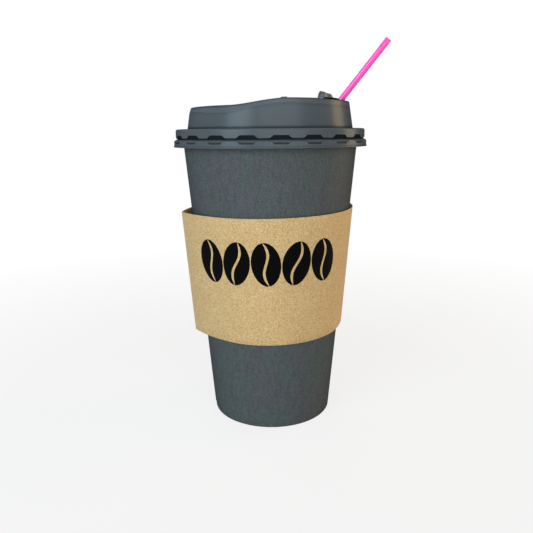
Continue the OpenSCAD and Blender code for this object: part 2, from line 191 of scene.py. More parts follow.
class Sheet:
    def __init__(self, owner):
        owner.use_nodes = True
        self.owner = owner
        self.tree = owner.node_tree
        self.tree.nodes.clear()

    def node(self, kind, settings=None, sockets=None, output=0):
        made = self.tree.nodes.new("ShaderNode" + kind)
        for key, value in (settings or {}).items():
            setattr(made, key, value)
        for key, value in (sockets or {}).items():
            if isinstance(value, Wire):
                self.tree.links.new(value.socket, made.inputs[key])
            else:
                made.inputs[key].default_value = value
        return Wire(self, made.outputs[output]) if len(made.outputs) else None

    def place(self, scale, turn):
        spot = self.node("TexCoord", output="Object")
        return self.node("Mapping", None, {0: spot, "Rotation": turn, "Scale": scale})

    def noise(self, scale, detail, roughness, distortion=0.0, stretch=(1, 1, 1), turn=(0, 0, 0)):
        sockets = {"Vector": self.place(stretch, turn), "Scale": scale, "Detail": detail}
        sockets.update({"Roughness": roughness, "Distortion": distortion})
        return self.node("TexNoise", None, sockets)

    def specks(self, scale, size, turn=(0, 0, 0)):  # small dots, 1 in a dot and 0 outside
        place = self.place((1, 1, 1), turn)
        cells = self.node("TexVoronoi", {"feature": "F1"}, {"Vector": place, "Scale": scale})
        return self.range(cells, size, size * 0.5, 0, 1)

    def range(self, value, low, high, newLow=0.0, newHigh=1.0):
        return self.node("MapRange", None, {0: value, 1: low, 2: high, 3: newLow, 4: newHigh})

    def mix(self, mask, first, second, way="MIX"):
        return self.node("Mix", {"data_type": "RGBA", "blend_type": way}, {0: mask, 6: first, 7: second}, 2)

    def shaded(self, colour, shade):  # a colour made darker or lighter by a grey value
        grey = self.node("CombineColor", None, {0: shade, 1: shade, 2: shade})
        return self.mix(1.0, colour, grey, "MULTIPLY")

    def sheen(self, amount):  # gloss that fades where the surface turns away
        facing = self.node("LayerWeight", None, {"Blend": 0.5}, "Facing")
        return self.range(facing, 0.4, 0.75, amount, amount * 0.1)

    def bump(self, height, strength, distance):
        return self.node("Bump", None, {"Strength": strength, "Distance": distance * mm, "Height": height})

    def finish(self, colour, roughness, normal, more):
        sockets = {"Base Color": colour, "Roughness": roughness, "Normal": normal}
        shader = self.node("BsdfPrincipled", None, {**sockets, **more})
        self.node("OutputMaterial", None, {0: shader})
        return self.owner


def paintColour(red, green, blue):  # a colour as a paint chart gives it, 0 to 255
    def linear(part):
        part = part / 255
        return part / 12.92 if part < 0.04045 else ((part + 0.055) / 1.055) ** 2.4
    return (linear(red), linear(green), linear(blue), 1)


def lighter(colour, factor):
    return tuple(part * factor for part in colour[:3]) + (1,)


# Camera: the photograph's viewpoint, found from the outlines of cup and lid
view = {
    "imageSize": 533,
    "focalPixels": 559.49,
    "centrePixel": (270.93, 234.48),
    "distance": 281.17,
    "height": 140.57,
    "turn": 21.3,
    "pitch": 10.18,
    "roll": -0.447,
    "sensor": 36,
}


def makeCamera():
    turn, pitch, roll = (math.radians(view[key]) for key in ("turn", "pitch", "roll"))
    level = Vector((math.cos(turn), math.sin(turn), 0))
    ahead = Vector((-math.sin(turn), math.cos(turn), 0))
    forward = ahead * math.cos(pitch) - Vector((0, 0, math.sin(pitch)))
    upward = ahead * math.sin(pitch) + Vector((0, 0, math.cos(pitch)))
    right = level * math.cos(roll) + upward * math.sin(roll)
    up = upward * math.cos(roll) - level * math.sin(roll)
    data = bpy.data.cameras.new("camera")
    camera = bpy.data.objects.new("camera", data)
    scene.collection.objects.link(camera)
    spot = -view["distance"] * ahead + Vector((0, 0, view["height"]))
    turned = Matrix((right, up, -forward)).transposed().to_4x4()
    camera.matrix_world = Matrix.Translation(spot * mm) @ turned
    size = view["imageSize"]
    data.sensor_width = view["sensor"]
    data.lens = view["focalPixels"] * view["sensor"] / size
    data.shift_x = -(view["centrePixel"][0] - size / 2) / size
    data.shift_y = (view["centrePixel"][1] - size / 2) / size
    data.clip_start = 0.01
    scene.camera = camera


makeCamera()
print("camera made")


# Cup: side wall with its rolled lip, glued lap and turned-in foot, and the bottom disc
cup = {
    "height": 142.35,
    "footRadius": 29.75,
    "slope": 0.0935,
    "paper": 0.45,
    "lipWidth": 2.2,
    "curlMouth": 70,
    "lapAngle": 198.3,
    "lapWidth": 7,
    "lapFade": 1.5,
    "bottomHeight": 9,
    "foldShort": 1.6,
    "foldRound": 0.2,
    "footRound": 0.3,
    "footBevel": 0.09,
    "discRound": 0.45,
    "discSag": 0.25,
    "plyGap": 0.05,
    "columns": 360,
    "colour": paintColour(75, 80, 80),
    "green": paintColour(69, 84, 80),
    "purple": paintColour(79, 75, 82),
    "grain": 0.22,
    "roughness": (0.62, 0.78),
    "liningRoughness": (0.5, 0.62),
    "gloss": 0.2,
    "coatRoughness": 0.4,
}


def wallRadius(height):
    return cup["footRadius"] + cup["slope"] * np.asarray(height, float)


def cupPaper(name, inside):
    sheet = Sheet(bpy.data.materials.new(name))
    patch = sheet.noise(70, 2, 0.5, 0.6, (1, 1, 0.45))
    colour = sheet.mix(sheet.range(patch, 0.4, 0.62), cup["green"], cup["purple"])
    colour = sheet.mix(0.7, colour, cup["colour"])
    grain = sheet.noise(1300, 3, 0.65)
    fibre = sheet.noise(620, 4, 0.6, 0.4, (1, 1, 0.3))
    shade = sheet.range(grain * 0.7 + fibre * 0.3, 0.38, 0.62, 1 - cup["grain"], 1 + cup["grain"])
    dots = sheet.specks(420, 0.11)
    colour = sheet.mix(dots * 0.35, sheet.shaded(colour, shade), lighter(cup["colour"], 2.2))
    rough = sheet.range(fibre, 0.3, 0.7, *cup["liningRoughness" if inside else "roughness"])
    normal = sheet.bump(grain * 0.5 + fibre * 0.5, 0.25, 0.06)
    more = {"Specular IOR Level": 0.2 if inside else 0.0, "Coat Weight": sheet.sheen(cup["gloss"])}
    return sheet.finish(colour, rough, normal, {**more, "Coat Roughness": cup["coatRoughness"]})


def cupWallProfile():
    paper, lipHalf = cup["paper"], cup["lipWidth"] / 2
    bend, bevel, corner = cup["footRound"], cup["footBevel"], cup["foldRound"]
    lipHeight = cup["height"] - lipHalf
    middle = (wallRadius(lipHeight) - paper + lipHalf, lipHeight)
    foldIn = 3 * paper + 2 * cup["plyGap"]
    foldTop = cup["bottomHeight"] - cup["foldShort"]
    footEnd = wallRadius(0)
    innerFold = footEnd - foldIn
    outside = [(wallRadius(z), z) for z in np.linspace(bend, lipHeight, 40)]
    rollEnd = -180 + cup["curlMouth"]
    roll = arcPoints(middle, lipHalf - paper, 180, rollEnd, 20)[1:]
    over = arcPoints(middle, lipHalf, rollEnd, 180, 36)
    inside = [(wallRadius(z) - paper, z) for z in np.linspace(lipHeight, paper + corner, 24)][1:]
    footIn = [(footEnd - paper - corner, paper), (innerFold + paper + corner, paper)]
    fold = [(innerFold + paper, z) for z in np.linspace(paper + corner, foldTop, 5)]
    fold += [(innerFold + cup["slope"] * z, z) for z in np.linspace(foldTop, bend, 8)]
    foot = [(innerFold + bevel, bevel), (innerFold + bend, 0)]
    foot += [(footEnd - bend, 0), (footEnd - bevel, bevel)]
    profile = outside + roll + over + inside + footIn + fold + foot
    lining = len(outside) + len(roll) - 1
    return profile, len(outside), slice(lining, lining + len(over) + len(inside))


def makeCupWall(paperMaterial, liningMaterial):
    profile, outer, lining = cupWallProfile()
    angles = fullTurn(cup["columns"])
    lapHalf = cup["lapWidth"] / wallRadius(cup["height"] / 2) * 90 / math.pi
    lapStart = math.radians(cup["lapAngle"] - lapHalf)
    rings = []
    for row, (radius, height) in enumerate(profile):
        away = (angles - lapStart) * radius
        lap = np.where((away > 0) & (away < cup["lapWidth"]), 1.0, 0.0)
        lap = lap * (1 - smoothStep(away, cup["lapWidth"] - cup["lapFade"], cup["lapWidth"]))
        lap = lap * smoothStep(cup["height"] - cup["lipWidth"] - height, 0, 0.3) if row < outer else 0 * lap
        rings.append(polar(radius + cup["paper"] * lap, angles, height))
    paint = np.zeros(len(profile), int)
    paint[lining] = 1
    part = loft(rings, closeEnds=True, paint=paint)
    piece = buildPiece("cupWallPaper", [part], [paperMaterial, liningMaterial], 50)
    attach(piece, "cup")
    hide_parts("cup_wall")


def makeCupBottom(paperMaterial, liningMaterial):
    paper, gap, top = cup["paper"], cup["plyGap"], cup["bottomHeight"] + cup["paper"]
    low, bend = paper + gap, cup["discRound"]
    outer = [(wallRadius(z) - paper - gap, z) for z in np.linspace(low, top - bend, 8)]
    edge = wallRadius(top) - paper - gap
    corner = [(edge - 0.13, top - 0.13), (edge - bend, top)]
    radii = np.linspace(28.5, 2, 12)
    disc = [(radius, top - cup["discSag"] * (1 - (radius / 29) ** 2)) for radius in radii]
    under = [(radius, height - paper) for radius, height in disc[::-1]]
    inside = [(wallRadius(top) - 2 * paper - gap - 0.3, top - paper)]
    skirt = [(wallRadius(z) - 2 * paper - gap, z) for z in np.linspace(top - paper - 0.3, low, 8)]
    angles = fullTurn(cup["columns"])
    upper = outer + corner + disc
    lower = under + inside + skirt
    rings = turnedPath(lower + upper, angles)
    paint = np.array([0] * len(lower) + [1] * (len(upper) - 1))
    tips = [(0, 0, under[0][1]), (0, 0, disc[-1][1])]
    part = loft(rings, startTip=tips[0], endTip=tips[1], paint=paint)
    piece = buildPiece("cupBottomPaper", [part], [paperMaterial, liningMaterial], 50)
    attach(piece, "cup")
    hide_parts("cup_bottom")


cupOutside = cupPaper("darkPaper", False)
cupInside = cupPaper("darkLining", True)
makeCupWall(cupOutside, cupInside)
makeCupBottom(cupOutside, cupInside)
print("cup made")


# Sleeve: smooth kraft liner, wavy medium behind it, two storage folds and a glued seam
sleeve = {
    "bottom": 44.25,
    "height": 60.1,
    "liner": 0.3,
    "flute": 0.65,
    "medium": 0.2,
    "flutes": 75,
    "room": (0.45, 0.2),
    "foldAngle": 216.3,
    "sharpOut": (4.5, 4.2),
    "softOut": (2.9, 1.75),
    "foldSpread": 38,
    "foldPower": 1.8,
    "tilt": 0.9,
    "seamAngle": 120,
    "seamStep": 0.5,
    "seamFade": 24,
    "columnsPerFlute": 12,
    "washboard": 0.004,
    "bevel": 0.06,
    "colour": paintColour(198, 165, 113),
    "dark": paintColour(165, 131, 80),
    "light": paintColour(224, 197, 148),
    "edge": paintColour(220, 189, 135),
    "ink": paintColour(2, 2, 2),
}


def foldLift(away):
    return np.maximum(0, 1 - away / sleeve["foldSpread"]) ** sleeve["foldPower"]


def sleevePoint(degrees, share, depth):
    # a point of the sleeve at an angle, a share of its height and a depth inside its outer face
    degrees = np.asarray(degrees, float)
    radius = wallRadius(sleeve["bottom"] + share * sleeve["height"])
    radius = radius + mixed(*sleeve["room"], share) + sleeve["flute"] + sleeve["liner"]
    turn = (degrees - sleeve["foldAngle"]) % 360
    fromFold = np.minimum(turn, 360 - turn)
    radius = radius + mixed(*sleeve["sharpOut"], share) * foldLift(fromFold)
    radius = radius + mixed(*sleeve["softOut"], share) * foldLift(180 - fromFold)
    fromSeam = (degrees - sleeve["seamAngle"]) % 360
    radius = radius + sleeve["seamStep"] * np.maximum(0, 1 - fromSeam / sleeve["seamFade"]) - depth
    lean = math.tan(math.radians(sleeve["tilt"])) * radius
    lean = lean * np.cos(np.radians(degrees - sleeve["foldAngle"] + 180))
    return polar(radius, np.radians(degrees), sleeve["bottom"] + share * sleeve["height"] + lean)


def kraftCard(name, base):
    sheet = Sheet(bpy.data.materials.new(name))
    grain = sheet.noise(1100, 3, 0.7)
    fine = sheet.noise(1900, 2, 0.6)
    cloud = sheet.noise(90, 3, 0.55)
    fibre = sheet.noise(700, 3, 0.55, 0.8, (1, 1, 0.25), (0.5, 0.3, 0))
    colour = sheet.mix(sheet.range(cloud, 0.35, 0.7, 0, 0.22), base, sleeve["dark"])
    colour = sheet.mix(sheet.range(grain, 0.47, 0.66, 0, 0.7), colour, sleeve["dark"])
    colour = sheet.mix(sheet.range(fine, 0.5, 0.64, 0, 0.75), colour, sleeve["light"])
    colour = sheet.mix(sheet.range(fibre, 0.6, 0.74, 0, 0.35), colour, sleeve["dark"])
    darkDots = sheet.specks(300, 0.1)
    colour = sheet.mix(darkDots * 0.6, colour, lighter(sleeve["dark"], 0.45))
    paleDots = sheet.specks(380, 0.12, (0.4, 0.7, 0))
    colour = sheet.mix(paleDots * 0.6, colour, sleeve["light"])
    normal = sheet.bump(grain * 0.6 + fibre * 0.4, 0.35, 0.07)
    rough = sheet.range(grain, 0.3, 0.7, 0.78, 0.92)
    fuzz = {"Specular IOR Level": 0.2, "Sheen Weight": 0.08, "Sheen Roughness": 0.6}
    return sheet.finish(colour, rough, normal, fuzz)


def makeSleeve(faceMaterial, edgeMaterial):
    count = sleeve["flutes"] * sleeve["columnsPerFlute"]
    degrees = np.arange(count) * 360 / count
    wave = (1 + np.cos(np.radians(degrees * sleeve["flutes"]))) / 2
    ripple = sleeve["washboard"] * wave
    shares = np.linspace(0, 1, 13)
    bevel, low = sleeve["bevel"], 0.08 / sleeve["height"]
    outer = [sleevePoint(degrees, share, ripple) for share in (low, *shares[1:-1], 1 - low)]
    bottomEdge = [sleevePoint(degrees, 0, sleeve["liner"] - bevel), sleevePoint(degrees, 0, bevel)]
    topEdge = [sleevePoint(degrees, 1, bevel), sleevePoint(degrees, 1, sleeve["liner"] - bevel)]
    inner = [sleevePoint(degrees, share, sleeve["liner"]) for share in (1 - low, 0.75, 0.5, 0.25, low)]
    rings = bottomEdge + outer + topEdge + inner
    paint = np.zeros(len(rings), int)
    paint[:2] = 1
    paint[1 + len(outer):4 + len(outer)] = 1
    paint[-1] = 1
    liner = loft(rings, closeEnds=True, paint=paint)
    crest = sleeve["liner"] - 0.01 + (sleeve["flute"] - sleeve["medium"]) * wave
    levels = (0.004, 0.25, 0.5, 0.75, 0.996)
    front = [sleevePoint(degrees, share, crest) for share in levels]
    back = [sleevePoint(degrees, share, crest + sleeve["medium"]) for share in levels[::-1]]
    marks = np.zeros(len(front) + len(back), int)
    marks[len(front) - 1] = 1
    marks[-1] = 1
    medium = loft(front + back, closeEnds=True, paint=marks)
    piece = buildPiece("sleeveBoard", [liner, medium], [faceMaterial, edgeMaterial], 45)
    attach(piece, "sleeve")
    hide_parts("sleeve")


# Print on the sleeve: a row of five plain coffee beans
beans = {
    "count": 5,
    "width": 12.8,
    "height": 20.5,
    "pitch": 14.1,
    "middleAngle": -68.7 - 3.4,
    "middleHeight": 83.4,
    "tilt": (9, -7, 8, -9, 7),
    "gap": 1.25,
    "curve": 1.5,
    "offWall": 1.3,
    "proud": 0.03,
    "thick": 0.06,
}


def beanHalf(side, tilt, centre):
    rows = np.sin(np.linspace(-1, 1, 45) * math.pi / 2) * 0.996
    across = np.linspace(0, 1, 9)
    outline = beans["width"] / 2 * np.sqrt(1 - rows ** 2) * (1 + 0.06 * (1 - rows ** 2))
    curve = beans["curve"] * np.sin(rows * math.pi)
    gap = beans["gap"] / 2 * (1 - rows ** 6)
    start = curve + side * gap
    end = side * outline
    local = start[:, None] + (end - start)[:, None] * across[None, :]
    along = rows[:, None] * beans["height"] / 2 + 0 * local
    turn = math.radians(tilt)
    sideways = local * math.cos(turn) - along * math.sin(turn) + centre
    height = local * math.sin(turn) + along * math.cos(turn) + beans["middleHeight"]
    share = (height - sleeve["bottom"]) / sleeve["height"]
    radius = wallRadius(beans["middleHeight"]) + beans["offWall"]
    degrees = beans["middleAngle"] + np.degrees(sideways / radius)
    return loft(sleevePoint(degrees, share, -beans["proud"]), wrap=False)


def makeBeans():
    sheet = Sheet(bpy.data.materials.new("blackInk"))
    wear = sheet.noise(1800, 2, 0.6)
    colour = sheet.mix(sheet.range(wear, 0.62, 0.8, 0, 0.25), sleeve["ink"], paintColour(40, 34, 26))
    rough, normal = sheet.range(wear, 0.3, 0.7, 0.7, 0.85), sheet.bump(wear, 0.2, 0.04)
    ink = sheet.finish(colour, rough, normal, {"Specular IOR Level": 0.05})
    for number in range(beans["count"]):
        centre = (number - (beans["count"] - 1) / 2) * beans["pitch"]
        parts = [beanHalf(side, beans["tilt"][number], centre) for side in (-1, 1)]
        piece = buildPiece(f"beanPrint{number + 1}", parts, [ink])
        layer = piece.modifiers.new("layer", "SOLIDIFY")
        layer.thickness = beans["thick"] * mm
        layer.offset = -1
        applyModifiers(piece)
        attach(piece, "sleeve")


makeSleeve(kraftCard("kraftFace", sleeve["colour"]), kraftCard("kraftEdge", sleeve["edge"]))
makeBeans()
print("sleeve made")


# Lid: skirt with its snap lugs, seat, channel, dome, rim and deck as one thin skin
lid = {
    "sheet": 0.45,
    "flareOut": 1.07,
    "shoulder": 143.0,
    "bandHeight": 4.5,
    "grooveDepth": 0.55,
    "grooveHalf": 0.12,
    "grooveUnder": 0.3,
    "grooveOver": 0.35,
    "shoulderRound": 0.9,
    "insideRound": 0.65,
    "trimHeight": 0.5,
    "trimStep": 0.2,
    "ledgeDrop": 0.8,
    "ledgeRound": (0.3, 0.4),
    "plugRadius": 42.109,
    "seatRadii": (44.9, 44.2, 43.4, 42.7),
    "seatLift": 0.03,
    "plugRound": 0.4,
    "plugSteps": (141.5, 140.2),
    "channel": 0.55,
    "channelRound": 0.3,
    "domeLean": 0.15,
    "lugs": 20,
    "lugWide": 10.2,
    "lugTip": (6.1, 5.4),
    "lugUp": 1.6,
    "lugDown": 2.2,
    "lugIn": 44.827,
    "lugSkin": 0.34,
    "lugDraft": 0.5,
    "lugWall": 0.07,
    "hollow": 0.4,
    "hollowLip": 0.2,
    "insideColumns": 9,
    "outsideColumns": 7,
    "rimHeight": 10.1,
    "rimRise": 2.8,
    "riseSpan": (-4.5, 22.5),
    "rimDip": 0.3,
    "dipFrom": 30,
    "rimWidth": 1.1,
    "rimRound": 0.45,
    "bevelIn": 0.3,
    "slopeWidth": 2.2,
    "deckDepth": 3.05,
    "padDepth": 3.7,
    "deckSpan": (2, 14),
    "creaseDepth": (2.55, 3.35, 2.1, 2.5),
    "creaseSpans": ((-23, -11), (-6, 6), (24, 30)),
    "creaseRound": 0.5,
    "sipWidth": 12.6,
    "sipLength": 6.7,
    "sipEdge": 1.75,
    "ventPlace": -21,
    "ventWidth": 1.2,
    "stackPads": ((-22.4, 8.6, 0.62), (59.7, 2.2, 0.35), (-59.7, 2.2, 0.35)),
    "padHalf": (0.34, 0.2),
    # painted shade on each pad's outer face; the first pad's near-black face stands for the shaded gap
    # between tab and straw
    "padShades": (0.05, 0.9, 0.9),
    "catch": (0.8, 5, 1.1),
    "catchGap": 0.5,
    "colour": paintColour(72, 80, 84),
    "roughness": (0.3, 0.4),
    "gloss": 0.36,
    "coatRoughness": 0.27,
    "sharpAngle": 38,
    # painted shade and painted highlights on the lid, used by lidShade
    "footHeight": 0.75,
    "footShade": 0.5,
    "creaseShadeLine": 0.14,
    "bevelHighlight": 0.16,
    "rimReflectionLine": 0.4,
    "seatShade": 0.62,
    "channelShade": 0.6,
    "shoulderHighlight": 0.12,
    "dentShade": 0.8,
    "grooveShade": 0.7,
    "hollowShade": 0.42,
    "ledgeHighlight": 0.1,
    "trimShadeLine": 0.2,
    "trimHighlight": 0.08,
}
lid["flareRadius"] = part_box("lid")[1].y / mm - 0.01
lid["trimEdge"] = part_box("lid")[0].z / mm
shoulder = lid["shoulder"]
bandRadius = lid["flareRadius"] - lid["flareOut"]
grooveHeight = shoulder - lid["bandHeight"]
grooveRadius = bandRadius - lid["grooveDepth"]
floorHeight = grooveHeight - lid["sheet"] / 2
domeFoot = lid["plugRadius"] - lid["sheet"] - lid["channel"]


def domeRadius(height):
    return domeFoot - lid["domeLean"] * (height - floorHeight)


rimRadius = domeRadius(shoulder + lid["rimHeight"]) - lid["bevelIn"]
toeRadius = rimRadius - lid["rimWidth"] - lid["slopeWidth"]
padHeight = shoulder + lid["rimHeight"] + lid["rimRise"] - lid["rimDip"] - lid["padDepth"]
rearDeck = shoulder + lid["rimHeight"] - lid["deckDepth"]
sipPlace = toeRadius - lid["sipEdge"] - lid["sipLength"] / 2


def rimHeightAt(x):
    height = shoulder + lid["rimHeight"] + lid["rimRise"] * smoothStep(x, *lid["riseSpan"])
    return height - lid["rimDip"] * smoothStep(x, lid["dipFrom"], rimRadius)


def creaseHeightAt(x):
    depth = lid["creaseDepth"][0]
    for before, after, span in zip(lid["creaseDepth"], lid["creaseDepth"][1:], lid["creaseSpans"]):
        depth = depth + (after - before) * smoothStep(x, *span)
    return rimHeightAt(x) - depth


def deckHeightAt(x):
    return mixed(rearDeck, padHeight, smoothStep(x, *lid["deckSpan"]))


def skirtRadius(height, depth):
    # radius of the skirt's plain face, at a depth inside it
    flare, trim = lid["flareRadius"] - lid["trimStep"], lid["trimEdge"] + lid["trimHeight"]
    ledge, over = grooveHeight - lid["ledgeDrop"], grooveHeight + lid["grooveOver"]
    points = [
        (lid["trimEdge"], lid["flareRadius"]),
        (trim, lid["flareRadius"]),
        (trim + lid["trimStep"], flare),
        (ledge - lid["ledgeRound"][1], flare),
        (ledge - 0.12, flare - 0.1),
        (ledge, flare - lid["ledgeRound"][0]),
        (grooveHeight - lid["grooveUnder"], grooveRadius + lid["grooveUnder"]),
        (grooveHeight - lid["grooveHalf"], grooveRadius),
        (grooveHeight + lid["grooveHalf"], grooveRadius),
        (over, bandRadius - 0.05),
        (over + 0.15, bandRadius),
        (shoulder - lid["shoulderRound"], bandRadius),
    ]
    heights, radii = zip(*points)
    return np.interp(height, heights, radii) - depth


def lugAngles(height, margin):
    # angles of the columns at a height: they follow the lugs' six-sided outline
    rise = height - grooveHeight
    reach, tip = (lid["lugUp"], lid["lugTip"][0]) if rise > 0 else (lid["lugDown"], lid["lugTip"][1])
    share = min(1, abs(rise) / (reach + margin))
    half = mixed(lid["lugWide"], tip, share) / 2 + margin
    sector = 2 * math.pi / lid["lugs"]
    inner = math.asin(half / grooveRadius)
    outer = math.asin((half + lid["lugWall"]) / grooveRadius)
    local = np.concatenate([
        np.linspace(-inner, inner, lid["insideColumns"]),
        np.linspace(outer, sector - outer, lid["outsideColumns"]),
    ])
    centres = (np.arange(lid["lugs"]) + 0.5) * sector
    return (centres[:, None] + local[None, :]).ravel()


def lugFace(rise, depth):
    # radius of a lug's dented face at a height above the groove, outside or a sheet's thickness inside
    flare = lid["flareRadius"] - lid["trimStep"]
    nose = lid["lugIn"] + (0 if depth else lid["lugSkin"])
    top = lid["lugUp"] + depth
    low = lid["lugDown"] - lid["hollowLip"]
    points = [(top, nose + lid["lugDraft"] * (top - lid["grooveHalf"]))]
    points += [(lid["grooveHalf"], nose), (-lid["grooveHalf"], nose)]
    if not depth:
        drop, (inward, down) = lid["ledgeDrop"], lid["ledgeRound"]
        points += [(-drop, flare - inward), (-drop - down, flare)]
    points += [(-low, flare - lid["hollow"] - (lid["lugSkin"] if depth else 0))]
    points += [(-low - (0.4 if depth else lid["hollowLip"]), flare - depth / 2)]
    rises, radii = zip(*points[::-1])
    return float(np.interp(rise, rises, radii))


def lugRing(height, depth, margin, dented):
    angles = lugAngles(height, margin)
    wall = float(skirtRadius(height, depth))
    columns = lid["insideColumns"] + lid["outsideColumns"]
    inLug = np.tile(np.arange(columns) < lid["insideColumns"], lid["lugs"])
    radius = np.where(inLug & dented, min(wall, lugFace(height - grooveHeight, depth)), wall)
    return polar(radius, angles, height)


def lidOuterRings(angles):
    gap = lid["lugWall"]
    top = shoulder - lid["shoulderRound"]
    edge, flare = lid["trimEdge"], lid["flareRadius"]
    step = edge + lid["trimHeight"]
    lowest, highest = grooveHeight - lid["lugDown"], grooveHeight + lid["lugUp"]
    around = lugAngles(edge, 0)
    rings = [polar(flare - 0.12, around, edge), polar(flare - 0.03, around, edge + 0.03)]
    plain = [edge + 0.12, step - 0.03, step + 0.08, step + lid["trimStep"], lowest - 0.4, lowest - gap]
    rings += [lugRing(height, 0, 0, False) for height in plain]
    rises = [-lid["lugDown"], -2.08, -2.0, -1.88, -1.6, -1.32, -1.2, -1.06, -0.92, -0.8, -0.62, -0.46, -0.3]
    rises += [-0.2, -0.12, 0.0, 0.12, 0.24, 0.35, 0.5, 0.8, 1.2, 1.45, lid["lugUp"]]
    rings += [lugRing(grooveHeight + rise, 0, 0, True) for rise in rises]
    upper = [highest + gap, highest + 0.5, mixed(highest, top, 0.6), top]
    rings += [lugRing(height, 0, 0, False) for height in upper]
    seat = lid["plugRadius"] - lid["sheet"]
    channel = floorHeight + lid["sheet"] / 2
    path = arcPoints((bandRadius - lid["shoulderRound"], top), lid["shoulderRound"], 0, 90, 7)[1:]
    path += [(radius, shoulder + lid["seatLift"]) for radius in lid["seatRadii"]]
    bend = lid["plugRound"]
    path += arcPoints((seat + bend, shoulder - bend), bend, 90, 180, 4)
    path += [(seat, height) for height in lid["plugSteps"]]
    bend = lid["channelRound"]
    path += arcPoints((seat - bend, channel + bend), bend, 0, -90, 3)
    path += arcPoints((domeFoot + 0.28, channel + bend), bend, -90, -180, 3)
    return rings + turnedPath(path, angles)


def lidTopRings(angles):
    x = rimRadius * np.cos(angles)
    crease, rim = creaseHeightAt(x), rimHeightAt(x)
    bend = lid["creaseRound"]
    start = floorHeight + lid["sheet"] / 2 + 0.4
    foot = shoulder + lid["footHeight"] + 0.6
    heights = list(np.linspace(start, foot, 9))
    heights += [mixed(foot, crease - bend, share) for share in np.linspace(0, 1, 9)[1:]]
    path = [(domeRadius(height), height) for height in heights]
    bevelEnd = rim - lid["rimRound"]
    shoulderPoint = np.stack([domeRadius(crease), crease], -1)
    rimPoint = np.stack([0 * x + rimRadius, bevelEnd], -1)
    below = np.stack([domeRadius(crease - bend), crease - bend], -1)
    length = np.linalg.norm(rimPoint - shoulderPoint, axis=1)[:, None]
    after = shoulderPoint + (rimPoint - shoulderPoint) / length * bend
    for share in (0.2, 0.4, 0.6, 0.8, 1):  # rounded crease
        path.append(mixed(mixed(below, shoulderPoint, share), mixed(shoulderPoint, after, share), share).T)
    path += [mixed(after, rimPoint, share).T for share in (0.33, 0.66)]
    for turn in np.radians(np.linspace(0, 180, 11)):  # round top of the rim
        radius = rimRadius - lid["rimWidth"] / 2 * (1 - math.cos(turn))
        path.append((radius, bevelEnd + lid["rimRound"] * math.sin(turn)))
    inner, toe = rimRadius - lid["rimWidth"], toeRadius
    for share in (0.25, 0.5, 0.75):
        height = mixed(bevelEnd, deckHeightAt(toe * np.cos(angles)) + 0.35, share)
        path.append((mixed(inner, toe + 0.25, share), height))
    for out, up in ((0.25, 0.35), (0.08, 0.14), (-0.12, 0.04), (-0.4, 0)):
        path.append((toe + out, deckHeightAt((toe + out) * np.cos(angles)) + up))
    for share in (0.96, 0.9, 0.83, 0.75, 0.67, 0.59, 0.51, 0.43, 0.35, 0.27, 0.19, 0.11, 0.05):
        path.append((toe * share, deckHeightAt(toe * share * np.cos(angles))))
    return turnedPath(path, angles)


def lidInnerRings(angles):
    # from the middle of the deck's underside out and down to the trimmed edge
    sheet, gap = lid["sheet"], lid["lugWall"]
    path = []
    for share in (0.05, 0.15, 0.3, 0.45, 0.6, 0.75, 0.9, 1):
        radius = toeRadius * share + (sheet / 2 if share == 1 else 0)
        path.append((radius, deckHeightAt(radius * np.cos(angles)) - sheet))
    x = rimRadius * np.cos(angles)
    crease, rim = creaseHeightAt(x), rimHeightAt(x)
    middle = rimRadius - lid["rimWidth"] / 2
    path += [(middle - 0.25, rim - sheet - 0.1), (middle + 0.1, rim - sheet - 0.05)]
    floor = floorHeight - sheet / 2
    for share in (0, 0.33, 0.66, 1):
        height = mixed(crease - sheet / 4, floor + 0.2, share)
        path.append((domeRadius(height) - sheet, height))
    plug, under = lid["plugRadius"], shoulder - sheet
    path += [(domeFoot - sheet + 0.2, floor), (plug - 0.25, floor), (plug, floor + 0.25)]
    path += [(plug, 140.5), (plug, under - 0.25), (plug + 0.25, under), (44, under)]
    bend = lid["insideRound"]
    path += arcPoints((bandRadius - bend, shoulder - bend), bend - sheet, 90, 0, 4)
    rings = turnedPath(path, angles)
    lowest, highest = grooveHeight - lid["lugDown"] - sheet, grooveHeight + lid["lugUp"] + sheet
    rings += [lugRing(height, sheet, sheet, False) for height in (highest + 0.4, highest + gap)]
    rises = [lid["lugUp"] + sheet, 1.6, 1.0, 0.35, 0.12, -0.12, -0.3, -0.8, -1.2, -1.6, -2.0, -2.2]
    rings += [lugRing(grooveHeight + rise, sheet, sheet, True) for rise in rises]
    edge = lid["trimEdge"]
    low = [lowest - gap, edge + 0.75, edge + 0.5, edge + 0.12]
    rings += [lugRing(height, sheet, 0, False) for height in low]
    rings.append(polar(lid["flareRadius"] - sheet + 0.1, lugAngles(edge, 0), edge))
    return rings


def stadium(length, width, steps):
    # long round outline, length across the hole and width along Y
    turn = fullTurn(steps)
    x, y = length / 2 * np.cos(turn), length / 2 * np.sin(turn)
    return np.stack([x, y + (width - length) / 2 * np.sign(np.sin(turn))], -1)


def prism(outline, low, high):
    return solidLoft([level(outline, low), level(outline, high)])


def catchPart():
    # low hook behind the hinge, with a round top
    thick, wide, high = lid["catch"]
    tabLength = sipPlace + lid["sipLength"] / 2 + tab["lap"] - hingePlace
    back = hingePlace - tabLength - lid["catchGap"] - thick
    rings = []
    for shrink, height in ((0, -lid["sheet"] / 2), (0, high - 0.25), (0.07, high - 0.08), (0.22, high)):
        x = np.array([shrink, thick - shrink, thick - shrink, shrink]) + back
        y = np.array([shrink, shrink, wide - shrink, wide - shrink]) - wide / 2
        rings.append(level(np.stack([x, y], -1), padHeight + height))
    return solidLoft(rings)


